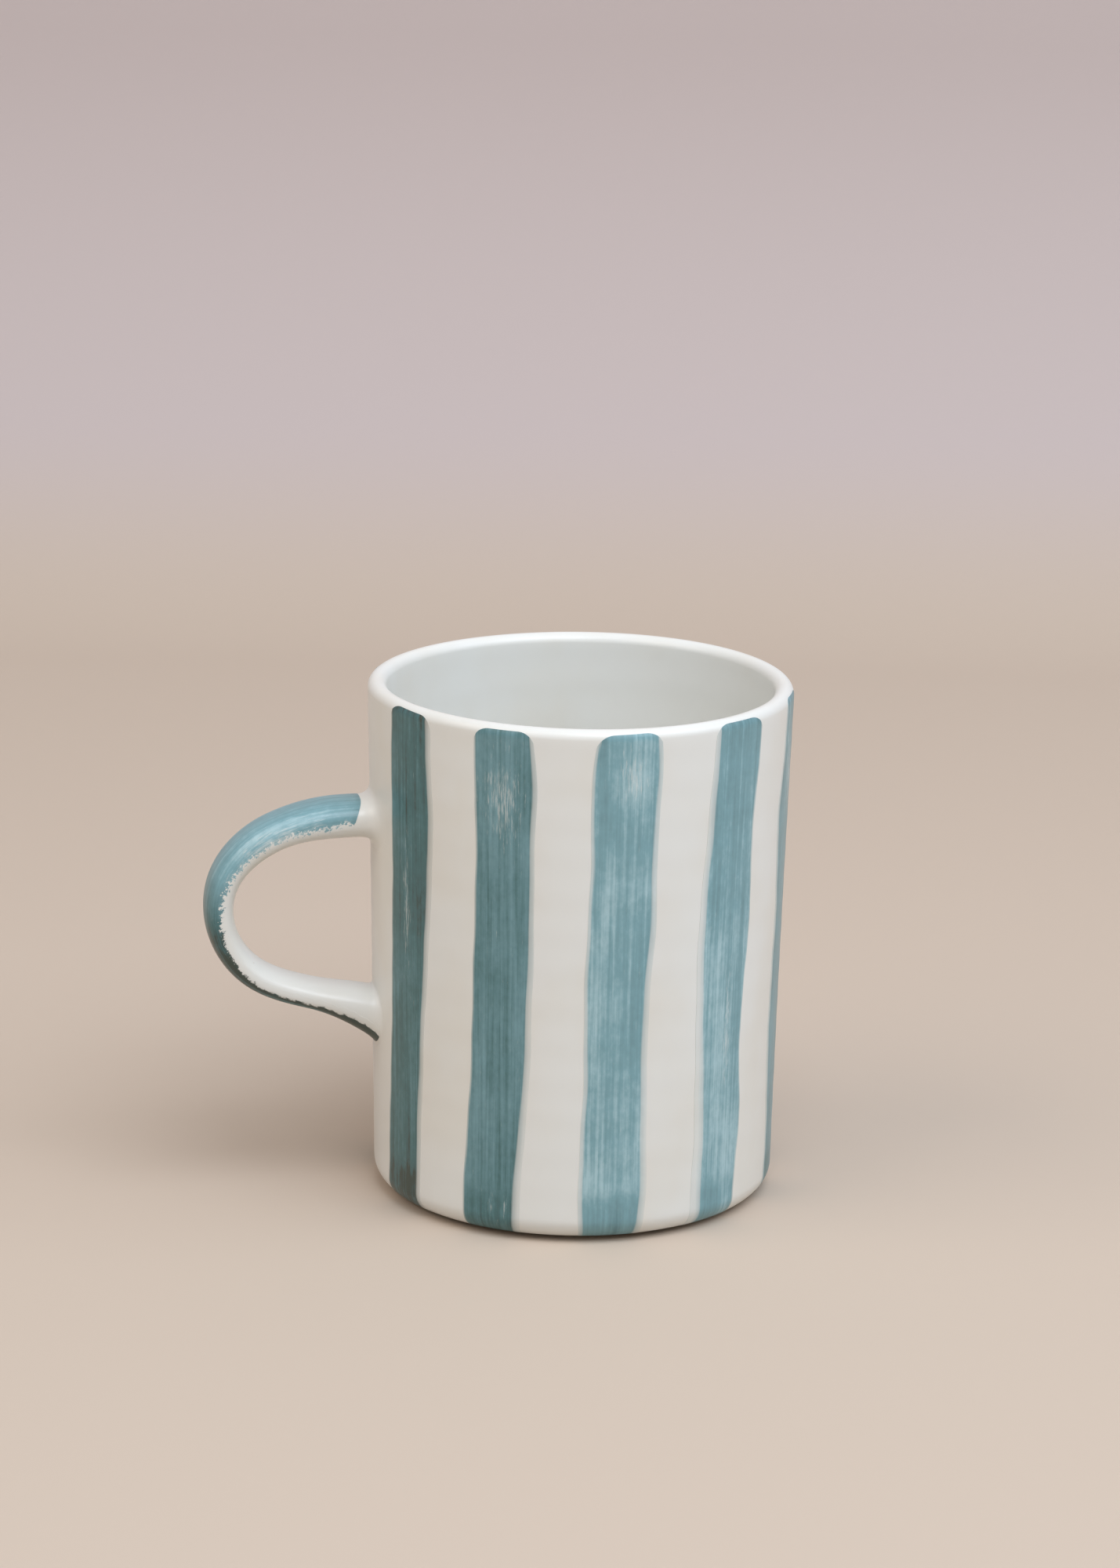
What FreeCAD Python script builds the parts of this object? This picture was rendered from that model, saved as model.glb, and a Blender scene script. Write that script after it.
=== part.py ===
import FreeCAD, Part
import math
import os

# A stoneware mug: a thrown cup, a pulled strap handle luted on with slip, a clear satin glaze
# inside and out, and blue slip bands brushed under the glaze.
# Frame: millimetres, +Z up, origin at the centre of the foot where it meets the table, handle towards -X.

# Cup, measured on the glazed surface
HEIGHT = 100.0          # table to the crest of the lip
RIM_R = 40.5            # outside radius just under the lip
FOOT_TAPER = 1.9        # the wall stands in from the rim by this much where the heel begins
HEEL_R = 4.2            # rounding from the wall to the underside
LIP = 3.6               # thickness of the rounded lip
MOUTH_DEPTH = 12.0      # straight part of the inside, below the lip
WALL_FOOT = 4.0         # thickness of the wall where the floor's rounding begins inside
FLOOR_Z = 6.5           # top of the floor inside
FLOOR_CORNER_R = 9.0    # rounding between the floor and the wall inside

# Foot ring, bare clay
FOOT_GAP = 0.7          # the glazed underside stands this far off the table
FOOT_STEP = 0.9         # foot ring set in from the start of the heel
FOOT_RING = 4.0         # width of the ring that the mug rests on
FOOT_RECESS = 1.8       # depth of the hollow inside the ring

# Coats
GLAZE = 0.5             # thickness of the fired glaze, with the colour in it
COLOUR = 0.25           # depth of the painted bands, counted from the glazed surface

# Handle: a strap, wider than thick, on a curve in the XZ plane
UPPER_JOINT_Z = 74.4    # strap's centre at the upper joint
LOWER_JOINT_Z = 35.6    # strap's centre at the lower joint
REACH = 30.2            # wall to the strap's centre at its furthest
ROOT_INSET = 4.0        # how far the strap's curve runs on inside the wall's face
STRAP_WIDTH_TOP = 12.4  # width and thickness of the glazed strap, from the upper joint to the lower
STRAP_WIDTH_SIDE = 11.2
STRAP_WIDTH_LOW = 10.8
STRAP_WIDTH_FOOT = 12.0
STRAP_THICK_TOP = 7.4
STRAP_THICK_BEND = 6.4
STRAP_THICK_SIDE = 5.5
STRAP_THICK_LOW = 5.3
STRAP_THICK_FOOT = 9.6
STRAP_SECTIONS = 15
UPPER_BEAD_R = 2.0      # rounding of the slip bead round the upper joint, on the glazed surface
LOWER_BEAD_R = 2.0      # rounding of the slip bead round the lower joint

# Painted bands on the wall, brushed by eye, numbered anticlockwise seen from above
BAND_TOPS = (27.7, 60.0, 92.4, 125.9, 161.0, 194.5, 229.5, 264.0, 298.5, 332.5)     # degrees from the handle
BAND_FEET = (23.1, 57.0, 91.0, 123.9, 159.7, 193.5, 227.5, 262.0, 297.5, 333.5)     # to a band's middle
BAND_WIDTH = 12.5       # across a band, along the wall
BAND_TOP_GAP = 1.3      # crest of the lip down to the end of a band
BAND_FOOT_GAP = 0.5     # glazed underside up to the other end
HANDLE_BAND_EDGE = 0.2  # the handle's band ends this far outside the strap's middle surface
HANDLE_BAND_START = 0.13    # share of the strap's length where its band begins
HANDLE_BAND_END = 0.93

UP = FreeCAD.Vector(0, 0, 1)
CENTRE = FreeCAD.Vector(0, 0, 0)
BELLY_R = RIM_R - FOOT_TAPER / 2
WALL_FOOT_R = RIM_R - FOOT_TAPER
INSIDE_FOOT_R = WALL_FOOT_R - WALL_FOOT
HEEL_TOP = FOOT_GAP + HEEL_R
HEEL_INNER_R = WALL_FOOT_R - HEEL_R
LIP_R = LIP / 2
CREST_R = RIM_R - LIP_R
LIP_Z = HEIGHT - LIP_R
MOUTH_R = RIM_R - LIP
MOUTH_Z = LIP_Z - MOUTH_DEPTH
FOOT_RING_R = HEEL_INNER_R - FOOT_STEP


def point(radius, z):
    return FreeCAD.Vector(radius, 0, z)


def line(start, end):
    return Part.LineSegment(start, end).toShape()


def arc(start, middle, end):
    return Part.Arc(start, middle, end).toShape()


def quarter(centre, radius, start_angle):
    """Quarter circle in the XZ plane, from start_angle to 90 degrees less."""
    turn = [math.radians(start_angle - step) for step in (0, 45, 90)]
    ends = [centre + point(radius * math.cos(a), radius * math.sin(a)) for a in turn]
    return arc(*ends)


def revolved(edges):
    outline = Part.Wire(Part.sortEdges(edges)[0])
    return Part.makeSolid(Part.Face(outline).revolve(CENTRE, UP, 360))


def outside_edges(depth):
    """Outside of the cup, from under the heel to the crest, this far below the glazed surface."""
    return [
        quarter(point(HEEL_INNER_R, HEEL_TOP), HEEL_R - depth, 0),
        line(point(WALL_FOOT_R - depth, HEEL_TOP), point(RIM_R - depth, LIP_Z)),
        quarter(point(CREST_R, LIP_Z), LIP_R - depth, 90),
    ]


def inside_edges(depth):
    """Inside of the cup, from the crest to the middle of the floor, this far below the glazed surface."""
    corner = point(INSIDE_FOOT_R - FLOOR_CORNER_R, FLOOR_Z + FLOOR_CORNER_R)
    return [
        quarter(point(CREST_R, LIP_Z), LIP_R - depth, 180),
        line(point(MOUTH_R + depth, LIP_Z), point(MOUTH_R + depth, MOUTH_Z)),
        line(point(MOUTH_R + depth, MOUTH_Z), point(INSIDE_FOOT_R + depth, corner.z)),
        quarter(corner, FLOOR_CORNER_R + depth, 0),
        line(point(corner.x, FLOOR_Z - depth), point(0, FLOOR_Z - depth)),
    ]


def cup_plug(depth):
    """The cup's outside as a solid with no hollow, this far below the glazed surface."""
    bottom = FOOT_GAP + depth
    top = HEIGHT - depth
    return revolved(outside_edges(depth) + [
        line(point(CREST_R, top), point(0, top)),
        line(point(0, top), point(0, bottom)),
        line(point(0, bottom), point(HEEL_INNER_R, bottom)),
    ])


def cup_body():
    """Thrown clay cup, with its foot ring turned out of the same clay."""
    underside = FOOT_GAP + GLAZE
    ring_inner_r = FOOT_RING_R - FOOT_RING
    foot = [(0, FLOOR_Z - GLAZE), (0, FOOT_RECESS), (ring_inner_r - FOOT_RECESS, FOOT_RECESS), (ring_inner_r, 0),
            (FOOT_RING_R, 0), (FOOT_RING_R, underside), (HEEL_INNER_R, underside)]
    turns = [point(*place) for place in foot]
    edges = [line(start, end) for start, end in zip(turns, turns[1:])]
    return revolved(outside_edges(GLAZE) + inside_edges(GLAZE) + edges)


def coat(edges_at, near, far, ends):
    """Ring between two depths of one side of the cup. ends holds each end's two points."""
    return revolved(edges_at(near) + edges_at(far) + [line(*pair) for pair in ends])


def outer_coat(depth):
    """The outside coat down to this depth, from under the heel to the crest."""
    ends = [(point(HEEL_INNER_R, FOOT_GAP), point(HEEL_INNER_R, FOOT_GAP + depth)),
            (point(CREST_R, HEIGHT), point(CREST_R, HEIGHT - depth))]
    return coat(outside_edges, 0, depth, ends)


def inner_glaze():
    ends = [(point(CREST_R, HEIGHT), point(CREST_R, HEIGHT - GLAZE)),
            (point(0, FLOOR_Z), point(0, FLOOR_Z - GLAZE))]
    return coat(inside_edges, 0, GLAZE, ends)


def strap_curve():
    """Middle line of the strap, from inside the wall at the upper joint to inside it at the lower."""
    drop = UPPER_JOINT_Z - LOWER_JOINT_Z
    shape = [(0.0, 0.0), (0.38, 0.015), (0.73, 0.11), (0.96, 0.31), (0.97, 0.57), (0.78, 0.78), (0.40, 0.90)]
    places = [point(-BELLY_R - share * REACH, UPPER_JOINT_Z - fall * drop) for share, fall in shape]
    start = point(-BELLY_R + ROOT_INSET, UPPER_JOINT_Z)
    end = point(-BELLY_R + ROOT_INSET, LOWER_JOINT_Z - ROOT_INSET / 2)
    lower = point(-BELLY_R, LOWER_JOINT_Z)
    curve = Part.BSplineCurve()
    curve.interpolate([start] + places + [lower, end])
    return curve


def eased(share, stops):
    """Value at a share of the strap's length, from stops of (share, value)."""
    for (low, low_value), (high, high_value) in zip(stops, stops[1:]):
        if share <= high:
            step = (share - low) / (high - low)
            smooth = step * step * (3 - 2 * step)
            return low_value + (high_value - low_value) * smooth
    return stops[-1][1]


def strap_width(share):
    stops = [(0.0, STRAP_WIDTH_TOP), (0.2, STRAP_WIDTH_TOP), (0.5, STRAP_WIDTH_SIDE), (0.75, STRAP_WIDTH_LOW),
             (1.0, STRAP_WIDTH_FOOT)]
    return eased(share, stops)


def strap_thickness(share):
    stops = [(0.0, STRAP_THICK_TOP), (0.12, STRAP_THICK_TOP), (0.27, STRAP_THICK_BEND), (0.5, STRAP_THICK_SIDE),
             (0.8, STRAP_THICK_LOW), (1.0, STRAP_THICK_FOOT)]
    return eased(share, stops)


def strap_place(curve, share):
    """Placement with X across the strap, Y out of its outer face and Z back along it."""
    along = curve.parameterAtDistance(share * curve.length(), curve.FirstParameter)
    across = FreeCAD.Vector(0, 1, 0)
    outward = across.cross(curve.tangent(along)[0])
    turn = FreeCAD.Rotation(across, outward, across.cross(outward), "YXZ")
    return FreeCAD.Placement(curve.value(along), turn)


def strap(depth):
    """The strap, this far below its glazed surface, running on inside the wall at both ends."""
    curve = strap_curve()
    sections = []
    for step in range(STRAP_SECTIONS):
        share = step / (STRAP_SECTIONS - 1)
        half_width = strap_width(share) / 2 - depth
        half_thickness = strap_thickness(share) / 2 - depth
        section = Part.Wire([Part.Ellipse(CENTRE, half_width, half_thickness).toShape()])
        section.Placement = strap_place(curve, share)
        sections.append(section)
    return Part.makeLoft(sections, True, False)


def joint_edges(solid, joint_z):
    """Edges where the strap's surface meets the wall, at the joint at this height."""
    found = []
    for edge in solid.Edges:
        box = edge.BoundBox
        on_wall = -RIM_R - STRAP_THICK_TOP / 2 < box.XMin and box.XMax < -CREST_R / 2
        across = box.YLength > STRAP_WIDTH_LOW / 2 and box.YLength < 2 * STRAP_WIDTH_TOP
        if on_wall and across and abs(box.Center.z - joint_z) < STRAP_THICK_FOOT:
            found.append(edge)
    return found


def jointed(depth):
    """Plug and strap as one, with the slip beads rounded between them."""
    whole = cup_plug(depth).fuse(strap(depth))
    for joint_z, bead_r in ((UPPER_JOINT_Z, UPPER_BEAD_R), (LOWER_JOINT_Z, LOWER_BEAD_R)):
        whole = whole.makeFillet(bead_r + depth, joint_edges(whole, joint_z))
    return whole


def band_blade(number):
    """Flat-sided block that cuts one painted band out of the coat, from its foot to its top."""
    middle = (BAND_TOPS[number] + BAND_FEET[number]) / 2
    ends = ((FOOT_GAP + BAND_FOOT_GAP, BAND_FEET[number]), (HEIGHT - BAND_TOP_GAP, BAND_TOPS[number]))
    corners = []
    for z, angle in ends:
        aside = BELLY_R * math.sin(math.radians(angle - middle))
        sides = [FreeCAD.Vector(0, aside + half, z) for half in (-BAND_WIDTH / 2, BAND_WIDTH / 2)]
        corners += sides if not corners else sides[::-1]
    blade = Part.Face(Part.makePolygon(corners + corners[:1])).extrude(FreeCAD.Vector(2 * RIM_R, 0, 0))
    blade.rotate(CENTRE, UP, 180 + middle)
    return blade


def wall_bands():
    """Each wall band fills the outer part of the glaze, flush with its surface."""
    ring = outer_coat(COLOUR)
    return [ring.common(band_blade(number)) for number in range(len(BAND_TOPS))]


def outer_side_of_strap():
    """The room outside the strap's middle surface, along the stretch that is painted."""
    curve = strap_curve()
    outlines = []
    for step in range(STRAP_SECTIONS):
        along = HANDLE_BAND_START + (HANDLE_BAND_END - HANDLE_BAND_START) * step / (STRAP_SECTIONS - 1)
        side = strap_width(along)
        corners = [(-side, HANDLE_BAND_EDGE), (side, HANDLE_BAND_EDGE), (side, side), (-side, side)]
        places = [FreeCAD.Vector(across, out, 0) for across, out in corners]
        outline = Part.makePolygon(places + places[:1])
        outline.Placement = strap_place(curve, along)
        outlines.append(outline)
    return Part.makeLoft(outlines, True, False)


def handle_parts():
    """Strap, slip beads, and the glaze and colour over them."""
    clay_plug = cup_plug(GLAZE)
    clay = jointed(GLAZE).cut(clay_plug)
    handle = strap(GLAZE).cut(clay_plug)
    beads = sorted(clay.cut(strap(GLAZE)).Solids, key=lambda bead: bead.CenterOfMass.z)
    glaze = jointed(0).cut(cup_plug(0)).cut(clay)
    band = strap(0).cut(strap(COLOUR)).common(outer_side_of_strap()).common(glaze)
    return clay, {"handle": handle, "upper_slip_joint": beads[-1], "lower_slip_joint": beads[0],
                  "handle_glaze": glaze.cut(band), "handle_band": band}


def build():
    clay_at_handle, nodes = handle_parts()
    outer_glaze = outer_coat(GLAZE).cut(clay_at_handle)
    for number, band in enumerate(wall_bands(), start=1):
        nodes["wall_band_%02d" % number] = band
        outer_glaze = outer_glaze.cut(band)
    nodes["outer_glaze"] = outer_glaze
    nodes["inner_glaze"] = inner_glaze()
    nodes["cup_body"] = cup_body()
    return nodes


os.makedirs("parts", exist_ok=True)
for name, shape in build().items():
    shape.exportStep("parts/%s.step" % name)
    print(name, "solids", len(shape.Solids), "volume %.2f" % shape.Volume, "valid", shape.isValid())
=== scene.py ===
import math
import random

import bpy
import numpy as np
from mathutils import Matrix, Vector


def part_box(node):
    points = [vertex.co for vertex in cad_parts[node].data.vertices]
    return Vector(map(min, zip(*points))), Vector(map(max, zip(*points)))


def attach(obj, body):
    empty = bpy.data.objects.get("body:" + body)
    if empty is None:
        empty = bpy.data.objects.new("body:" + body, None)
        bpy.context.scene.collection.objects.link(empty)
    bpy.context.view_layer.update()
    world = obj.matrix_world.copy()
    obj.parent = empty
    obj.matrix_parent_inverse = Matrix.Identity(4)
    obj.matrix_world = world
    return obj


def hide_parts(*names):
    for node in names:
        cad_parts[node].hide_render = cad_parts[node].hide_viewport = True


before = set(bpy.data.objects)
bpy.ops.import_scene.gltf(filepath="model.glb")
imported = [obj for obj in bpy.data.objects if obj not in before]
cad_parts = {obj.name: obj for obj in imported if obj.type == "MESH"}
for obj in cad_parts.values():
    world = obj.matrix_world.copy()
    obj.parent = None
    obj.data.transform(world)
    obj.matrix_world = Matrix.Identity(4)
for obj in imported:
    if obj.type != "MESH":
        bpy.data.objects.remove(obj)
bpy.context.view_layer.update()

# A hand-painted stoneware mug. Everything is in metres in the part's own frame: +Z up, the foot's centre at
# the origin, the handle towards -X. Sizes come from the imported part, and MM turns millimetres to metres.
MM = 0.001

# ---------------------------------------------------------------- sizes

GLAZE = 0.5 * MM             # thickness of the fired coat
PAINT = 0.05 * MM            # how far the painted bands stand over the glaze
HEEL_R = 4.2 * MM
FOOT_TAPER = 1.9 * MM        # the wall leans in by this much down to the heel
WALL_FOOT = 4.0 * MM         # wall thickness at the floor
FLOOR_CORNER_R = 9.0 * MM
MOUTH_DEPTH = 12.0 * MM
FOOT_STEP = 0.9 * MM
FOOT_RING = 4.0 * MM
FOOT_RECESS = 1.8 * MM
FOOT_EDGE_R = 0.35 * MM
CLAY_DEPTH = GLAZE * 1.02    # the clay starts this far down, just clear of the back of the glaze
EGG_TURN = 10.5              # degrees that the egg shape of the rim is turned by

RIM_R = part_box("outer_glaze")[1].x
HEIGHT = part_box("outer_glaze")[1].z
FOOT_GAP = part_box("outer_glaze")[0].z
CREST_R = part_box("inner_glaze")[1].x
FLOOR_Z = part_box("inner_glaze")[0].z + GLAZE
LIP_R = RIM_R - CREST_R
LIP_Z = HEIGHT - LIP_R
MOUTH_R = CREST_R - LIP_R
HEEL_Z = FOOT_GAP + HEEL_R
WALL_FOOT_R = RIM_R - FOOT_TAPER
HEEL_INNER_R = WALL_FOOT_R - HEEL_R
INSIDE_FOOT_R = WALL_FOOT_R - WALL_FOOT
BELLY_R = RIM_R - FOOT_TAPER / 2

HANDLE_TURN = math.pi        # the handle points along -X
WHEEL_STEPS = 300            # facets round the cup
HIDDEN_FINENESS = 0.4        # share of the rings that a hidden face needs


# ---------------------------------------------------------------- the thrown wall

def out_of_round(turn, z):
    """How far the hand-thrown wall strays from a true circle, fading out at the foot."""
    share = z / HEIGHT
    seen = turn + math.radians(EGG_TURN)
    egg = 0.30 * share ** 2 * (np.cos(seen) - np.cos(3 * seen))
    sway = 0.06 * np.sin(2 * turn + 0.8 + z / (38 * MM)) + 0.045 * np.sin(3 * turn - z / (27 * MM))
    throwing_rings = 0.018 * np.sin(z / (1.15 * MM) + turn)
    waist = -0.20 * np.sin(math.pi * share)
    return (egg + sway + throwing_rings + waist) * MM * np.clip(z / (9 * MM), 0, 1)


def arc(centre_r, centre_z, radius, start, end, steps):
    """Points of a circular arc in the (r, z) plane, angles in degrees from outward towards up."""
    turns = np.radians(np.linspace(start, end, steps))
    return np.column_stack([centre_r + radius * np.cos(turns), centre_z + radius * np.sin(turns)])


def run(start, end, steps):
    """Points along a straight line in the (r, z) plane, without the two ends."""
    return np.linspace(start, end, steps + 2)[1:-1]


def outside_line(depth, fine=1.0):
    """Outside of the cup from under the heel to the crest, this far below the glazed surface."""
    def count(steps):
        return max(3, round(steps * fine))
    return np.vstack([
        arc(HEEL_INNER_R, HEEL_Z, HEEL_R - depth, -90, 0, count(14)),
        run((WALL_FOOT_R - depth, HEEL_Z), (RIM_R - depth, LIP_Z), count(84)),
        arc(CREST_R, LIP_Z, LIP_R - depth, 0, 90, count(14)),
    ])


def inside_line(depth, fine=1.0):
    """Inside of the cup from the crest to the middle of the floor, this far below the glazed surface."""
    def count(steps):
        return max(3, round(steps * fine))
    corner_z = FLOOR_Z + FLOOR_CORNER_R
    corner_r = INSIDE_FOOT_R - FLOOR_CORNER_R
    return np.vstack([
        arc(CREST_R, LIP_Z, LIP_R - depth, 90, 180, count(14))[1:],
        run((MOUTH_R + depth, LIP_Z), (MOUTH_R + depth, LIP_Z - MOUTH_DEPTH), count(8)),
        run((MOUTH_R + depth, LIP_Z - MOUTH_DEPTH), (INSIDE_FOOT_R + depth, corner_z), count(40)),
        arc(corner_r, corner_z, FLOOR_CORNER_R + depth, 0, -90, count(14)),
        run((corner_r, FLOOR_Z - depth), (0, FLOOR_Z - depth), count(10)),
        [(0, FLOOR_Z - depth)],
    ])


def make_mesh(name, points, faces, maps=None, values=None, sharp=40):
    """A smooth-shaded mesh object. maps are UV maps and values are numbers, both given point by point."""
    mesh = bpy.data.meshes.new(name)
    mesh.from_pydata([tuple(p) for p in points], [], faces)
    corners = np.empty(len(mesh.loops), int)
    mesh.loops.foreach_get("vertex_index", corners)
    for map_name, places in (maps or {}).items():
        layer = mesh.uv_layers.new(name=map_name)
        layer.data.foreach_set("uv", np.asarray(places, float)[corners].ravel())
    for value_name, numbers in (values or {}).items():
        layer = mesh.attributes.new(value_name, "FLOAT", "POINT")
        layer.data.foreach_set("value", np.asarray(numbers, float).ravel())
    mesh.polygons.foreach_set("use_smooth", [True] * len(mesh.polygons))
    mesh.set_sharp_from_angle(angle=math.radians(sharp))
    mesh.validate()
    piece = bpy.data.objects.new(name, mesh)
    bpy.context.scene.collection.objects.link(piece)
    return piece


def grid_faces(rows, columns, closed, start=0):
    """Quads of a grid whose points are numbered row by row. closed joins the last column to the first."""
    faces = []
    for row in range(rows - 1):
        for column in range(columns if closed else columns - 1):
            beside = (column + 1) % columns
            here = start + row * columns
            faces.append((here + column, here + beside, here + columns + beside, here + columns + column))
    return faces


def turned(name, outline):
    """Closed solid turned on the wheel from an outline whose two ends lie on the axis."""
    turns = np.arange(WHEEL_STEPS) * 2 * math.pi / WHEEL_STEPS
    rings = outline[1:-1]
    radius = rings[:, :1] + out_of_round(turns[None, :], rings[:, 1:])
    points = np.stack([radius * np.cos(turns), radius * np.sin(turns),
                       np.broadcast_to(rings[:, 1:], radius.shape)], axis=-1).reshape(-1, 3)
    poles = [(0, 0, outline[0, 1]), (0, 0, outline[-1, 1])]
    faces = grid_faces(len(rings), WHEEL_STEPS, True)
    first_pole = len(points)
    last_ring = (len(rings) - 1) * WHEEL_STEPS
    for column in range(WHEEL_STEPS):
        beside = (column + 1) % WHEEL_STEPS
        faces.append((beside, column, first_pole))
        faces.append((last_ring + column, last_ring + beside, first_pole + 1))
    return make_mesh(name, np.vstack([points, poles]), faces)


def glazed_cup():
    """The coat of glaze, over the outside, the lip and the inside, as one closed skin."""
    skin = np.vstack([outside_line(0), inside_line(0)])
    back = np.vstack([outside_line(GLAZE, HIDDEN_FINENESS), inside_line(GLAZE, HIDDEN_FINENESS)])
    cup = turned("glaze_on_cup", np.vstack([back[::-1], skin]))
    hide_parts("outer_glaze", "inner_glaze")
    return cup


def clay_cup():
    """The clay under the glaze, bare on the foot ring and the hollow underside."""
    ring_r = HEEL_INNER_R - FOOT_STEP
    ring_inner_r = ring_r - FOOT_RING
    under = FOOT_GAP + CLAY_DEPTH
    foot = np.vstack([
        [(0, FOOT_RECESS), (ring_inner_r - 2 * FOOT_RECESS, FOOT_RECESS)],
        arc(ring_inner_r - FOOT_EDGE_R, FOOT_EDGE_R, FOOT_EDGE_R, 200, 270, 5),
        run((ring_inner_r - FOOT_EDGE_R, 0), (ring_r - FOOT_EDGE_R, 0), 4),
        arc(ring_r - FOOT_EDGE_R, FOOT_EDGE_R, FOOT_EDGE_R, 270, 350, 5),
        [(ring_r, under)],
    ])
    cup = turned("clay_cup", np.vstack([foot, outside_line(CLAY_DEPTH, HIDDEN_FINENESS),
                                        inside_line(CLAY_DEPTH, HIDDEN_FINENESS)]))
    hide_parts("cup_body")
    return cup


# ---------------------------------------------------------------- handle

STRAP_STEPS = 150            # rings along the strap
STRAP_SIDES = 72             # points round it
BEAD_STEPS = 9               # rings across the slip bead at each joint
STRAP_SQUARENESS = 2.45      # 2 is an ellipse, more is a squarer strap
STRAP_LINE_STEPS = 400       # points along the strap's middle line
STRAP_MIDDLE_THICK = 5.5 * MM
ROOT_INSET = 4.0 * MM
JOINT_SEARCH = (0.30, 0.74)  # shares of the strap that the upper and the lower joint don't reach past
HALVINGS = 40                # steps of the search for the joint
BEAD_BURIED = 0.4 * MM       # how far the slip beads run into the wall

# Middle line of the strap, as shares of how far it stands out and of the drop between its joints
STRAP_LINE = ((0.0, 0.0), (0.38, 0.015), (0.73, 0.11), (0.96, 0.31), (0.97, 0.57), (0.78, 0.78), (0.40, 0.90))
# Width and thickness of the glazed strap, in mm, at shares of its length
STRAP_WIDTHS = ((0.0, 12.4), (0.2, 12.4), (0.5, 11.2), (0.75, 10.8), (1.0, 12.0))
STRAP_THICKS = ((0.0, 7.4), (0.12, 7.4), (0.27, 6.4), (0.5, 5.5), (0.8, 5.3), (1.0, 9.6))


def eased(share, stops):
    """Value at shares of a length, easing smoothly between stops of (share, value)."""
    places = np.array([stop[0] for stop in stops])
    levels = np.array([stop[1] for stop in stops])
    span = np.clip(np.searchsorted(places, share, side="right") - 1, 0, len(stops) - 2)
    step = np.clip((share - places[span]) / (places[span + 1] - places[span]), 0, 1)
    return levels[span] + (levels[span + 1] - levels[span]) * step * step * (3 - 2 * step)


def smooth_curve(points, steps):
    """Natural cubic spline through the points, sampled evenly along its length."""
    points = np.asarray(points, float)
    knots = np.concatenate([[0], np.cumsum(np.linalg.norm(np.diff(points, axis=0), axis=1))])
    gaps = np.diff(knots)
    count = len(points)
    system = np.eye(count)
    pull = np.zeros_like(points)
    for i in range(1, count - 1):
        system[i, i - 1:i + 2] = gaps[i - 1], 2 * (gaps[i - 1] + gaps[i]), gaps[i]
        pull[i] = 6 * ((points[i + 1] - points[i]) / gaps[i] - (points[i] - points[i - 1]) / gaps[i - 1])
    bend = np.linalg.solve(system, pull)
    fine = np.linspace(0, knots[-1], steps * 8)
    i = np.clip(np.searchsorted(knots, fine, side="right") - 1, 0, count - 2)
    before, after = (knots[i + 1] - fine)[:, None], (fine - knots[i])[:, None]
    gap = gaps[i][:, None]
    line = (bend[i] * before ** 3 + bend[i + 1] * after ** 3) / (6 * gap)
    line += ((points[i] / gap - bend[i] * gap / 6) * before
             + (points[i + 1] / gap - bend[i + 1] * gap / 6) * after)
    travel = np.concatenate([[0], np.cumsum(np.linalg.norm(np.diff(line, axis=0), axis=1))])
    even = np.linspace(0, travel[-1], steps)
    return np.column_stack([np.interp(even, travel, line[:, axis]) for axis in range(line.shape[1])])


def strap_middle():
    """Middle line of the strap in the (x, z) plane, from inside the wall at one joint to the other."""
    upper_z = (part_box("upper_slip_joint")[0].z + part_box("upper_slip_joint")[1].z) / 2
    lower_z = (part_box("lower_slip_joint")[0].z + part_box("lower_slip_joint")[1].z) / 2
    out = -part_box("handle_glaze")[0].x - STRAP_MIDDLE_THICK / 2 - BELLY_R
    drop = upper_z - lower_z
    places = [(-BELLY_R + ROOT_INSET, upper_z)]
    places += [(-BELLY_R - share * out, upper_z - fall * drop) for share, fall in STRAP_LINE]
    places += [(-BELLY_R, lower_z), (-BELLY_R + ROOT_INSET, lower_z - ROOT_INSET / 2)]
    return smooth_curve(places, STRAP_LINE_STEPS)


def rounded(turn):
    """Unit strap section: across the strap and out of its outer face, at turns round it."""
    power = 2 / STRAP_SQUARENESS
    across = np.sign(np.cos(turn)) * np.abs(np.cos(turn)) ** power
    out = np.sign(np.sin(turn)) * np.abs(np.sin(turn)) ** power
    return across, out


class Strap:
    """The strap's surface before its ends are luted on. share runs along it and turn round it."""

    def __init__(self, depth):
        self.middle = strap_middle()
        self.along = np.linspace(0, 1, len(self.middle))
        forward = np.gradient(self.middle, axis=0)
        forward /= np.linalg.norm(forward, axis=1)[:, None]
        self.outward = np.column_stack([forward[:, 1], -forward[:, 0]])
        self.depth = depth

    def at(self, share, turn):
        x, z = (np.interp(share, self.along, self.middle[:, axis]) for axis in (0, 1))
        out_x, out_z = (np.interp(share, self.along, self.outward[:, axis]) for axis in (0, 1))
        across, out = rounded(turn)
        wide = eased(share, STRAP_WIDTHS) * MM / 2 - self.depth
        thick = eased(share, STRAP_THICKS) * MM / 2 - self.depth
        return np.stack([x + out_x * out * thick, across * wide, z + out_z * out * thick], axis=-1)


def wall_radius(z):
    return WALL_FOOT_R + (RIM_R - WALL_FOOT_R) * (z - HEEL_Z) / (LIP_Z - HEEL_Z)


def on_wall(place, depth):
    """World point from (distance round the wall from the handle, height, distance off the wall)."""
    aside, z, off = place[..., 0], place[..., 1], place[..., 2]
    turn = HANDLE_TURN + aside / BELLY_R
    radius = wall_radius(z) + out_of_round(turn, z) - depth + off
    return np.stack([radius * np.cos(turn), radius * np.sin(turn), z], axis=-1)


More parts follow.
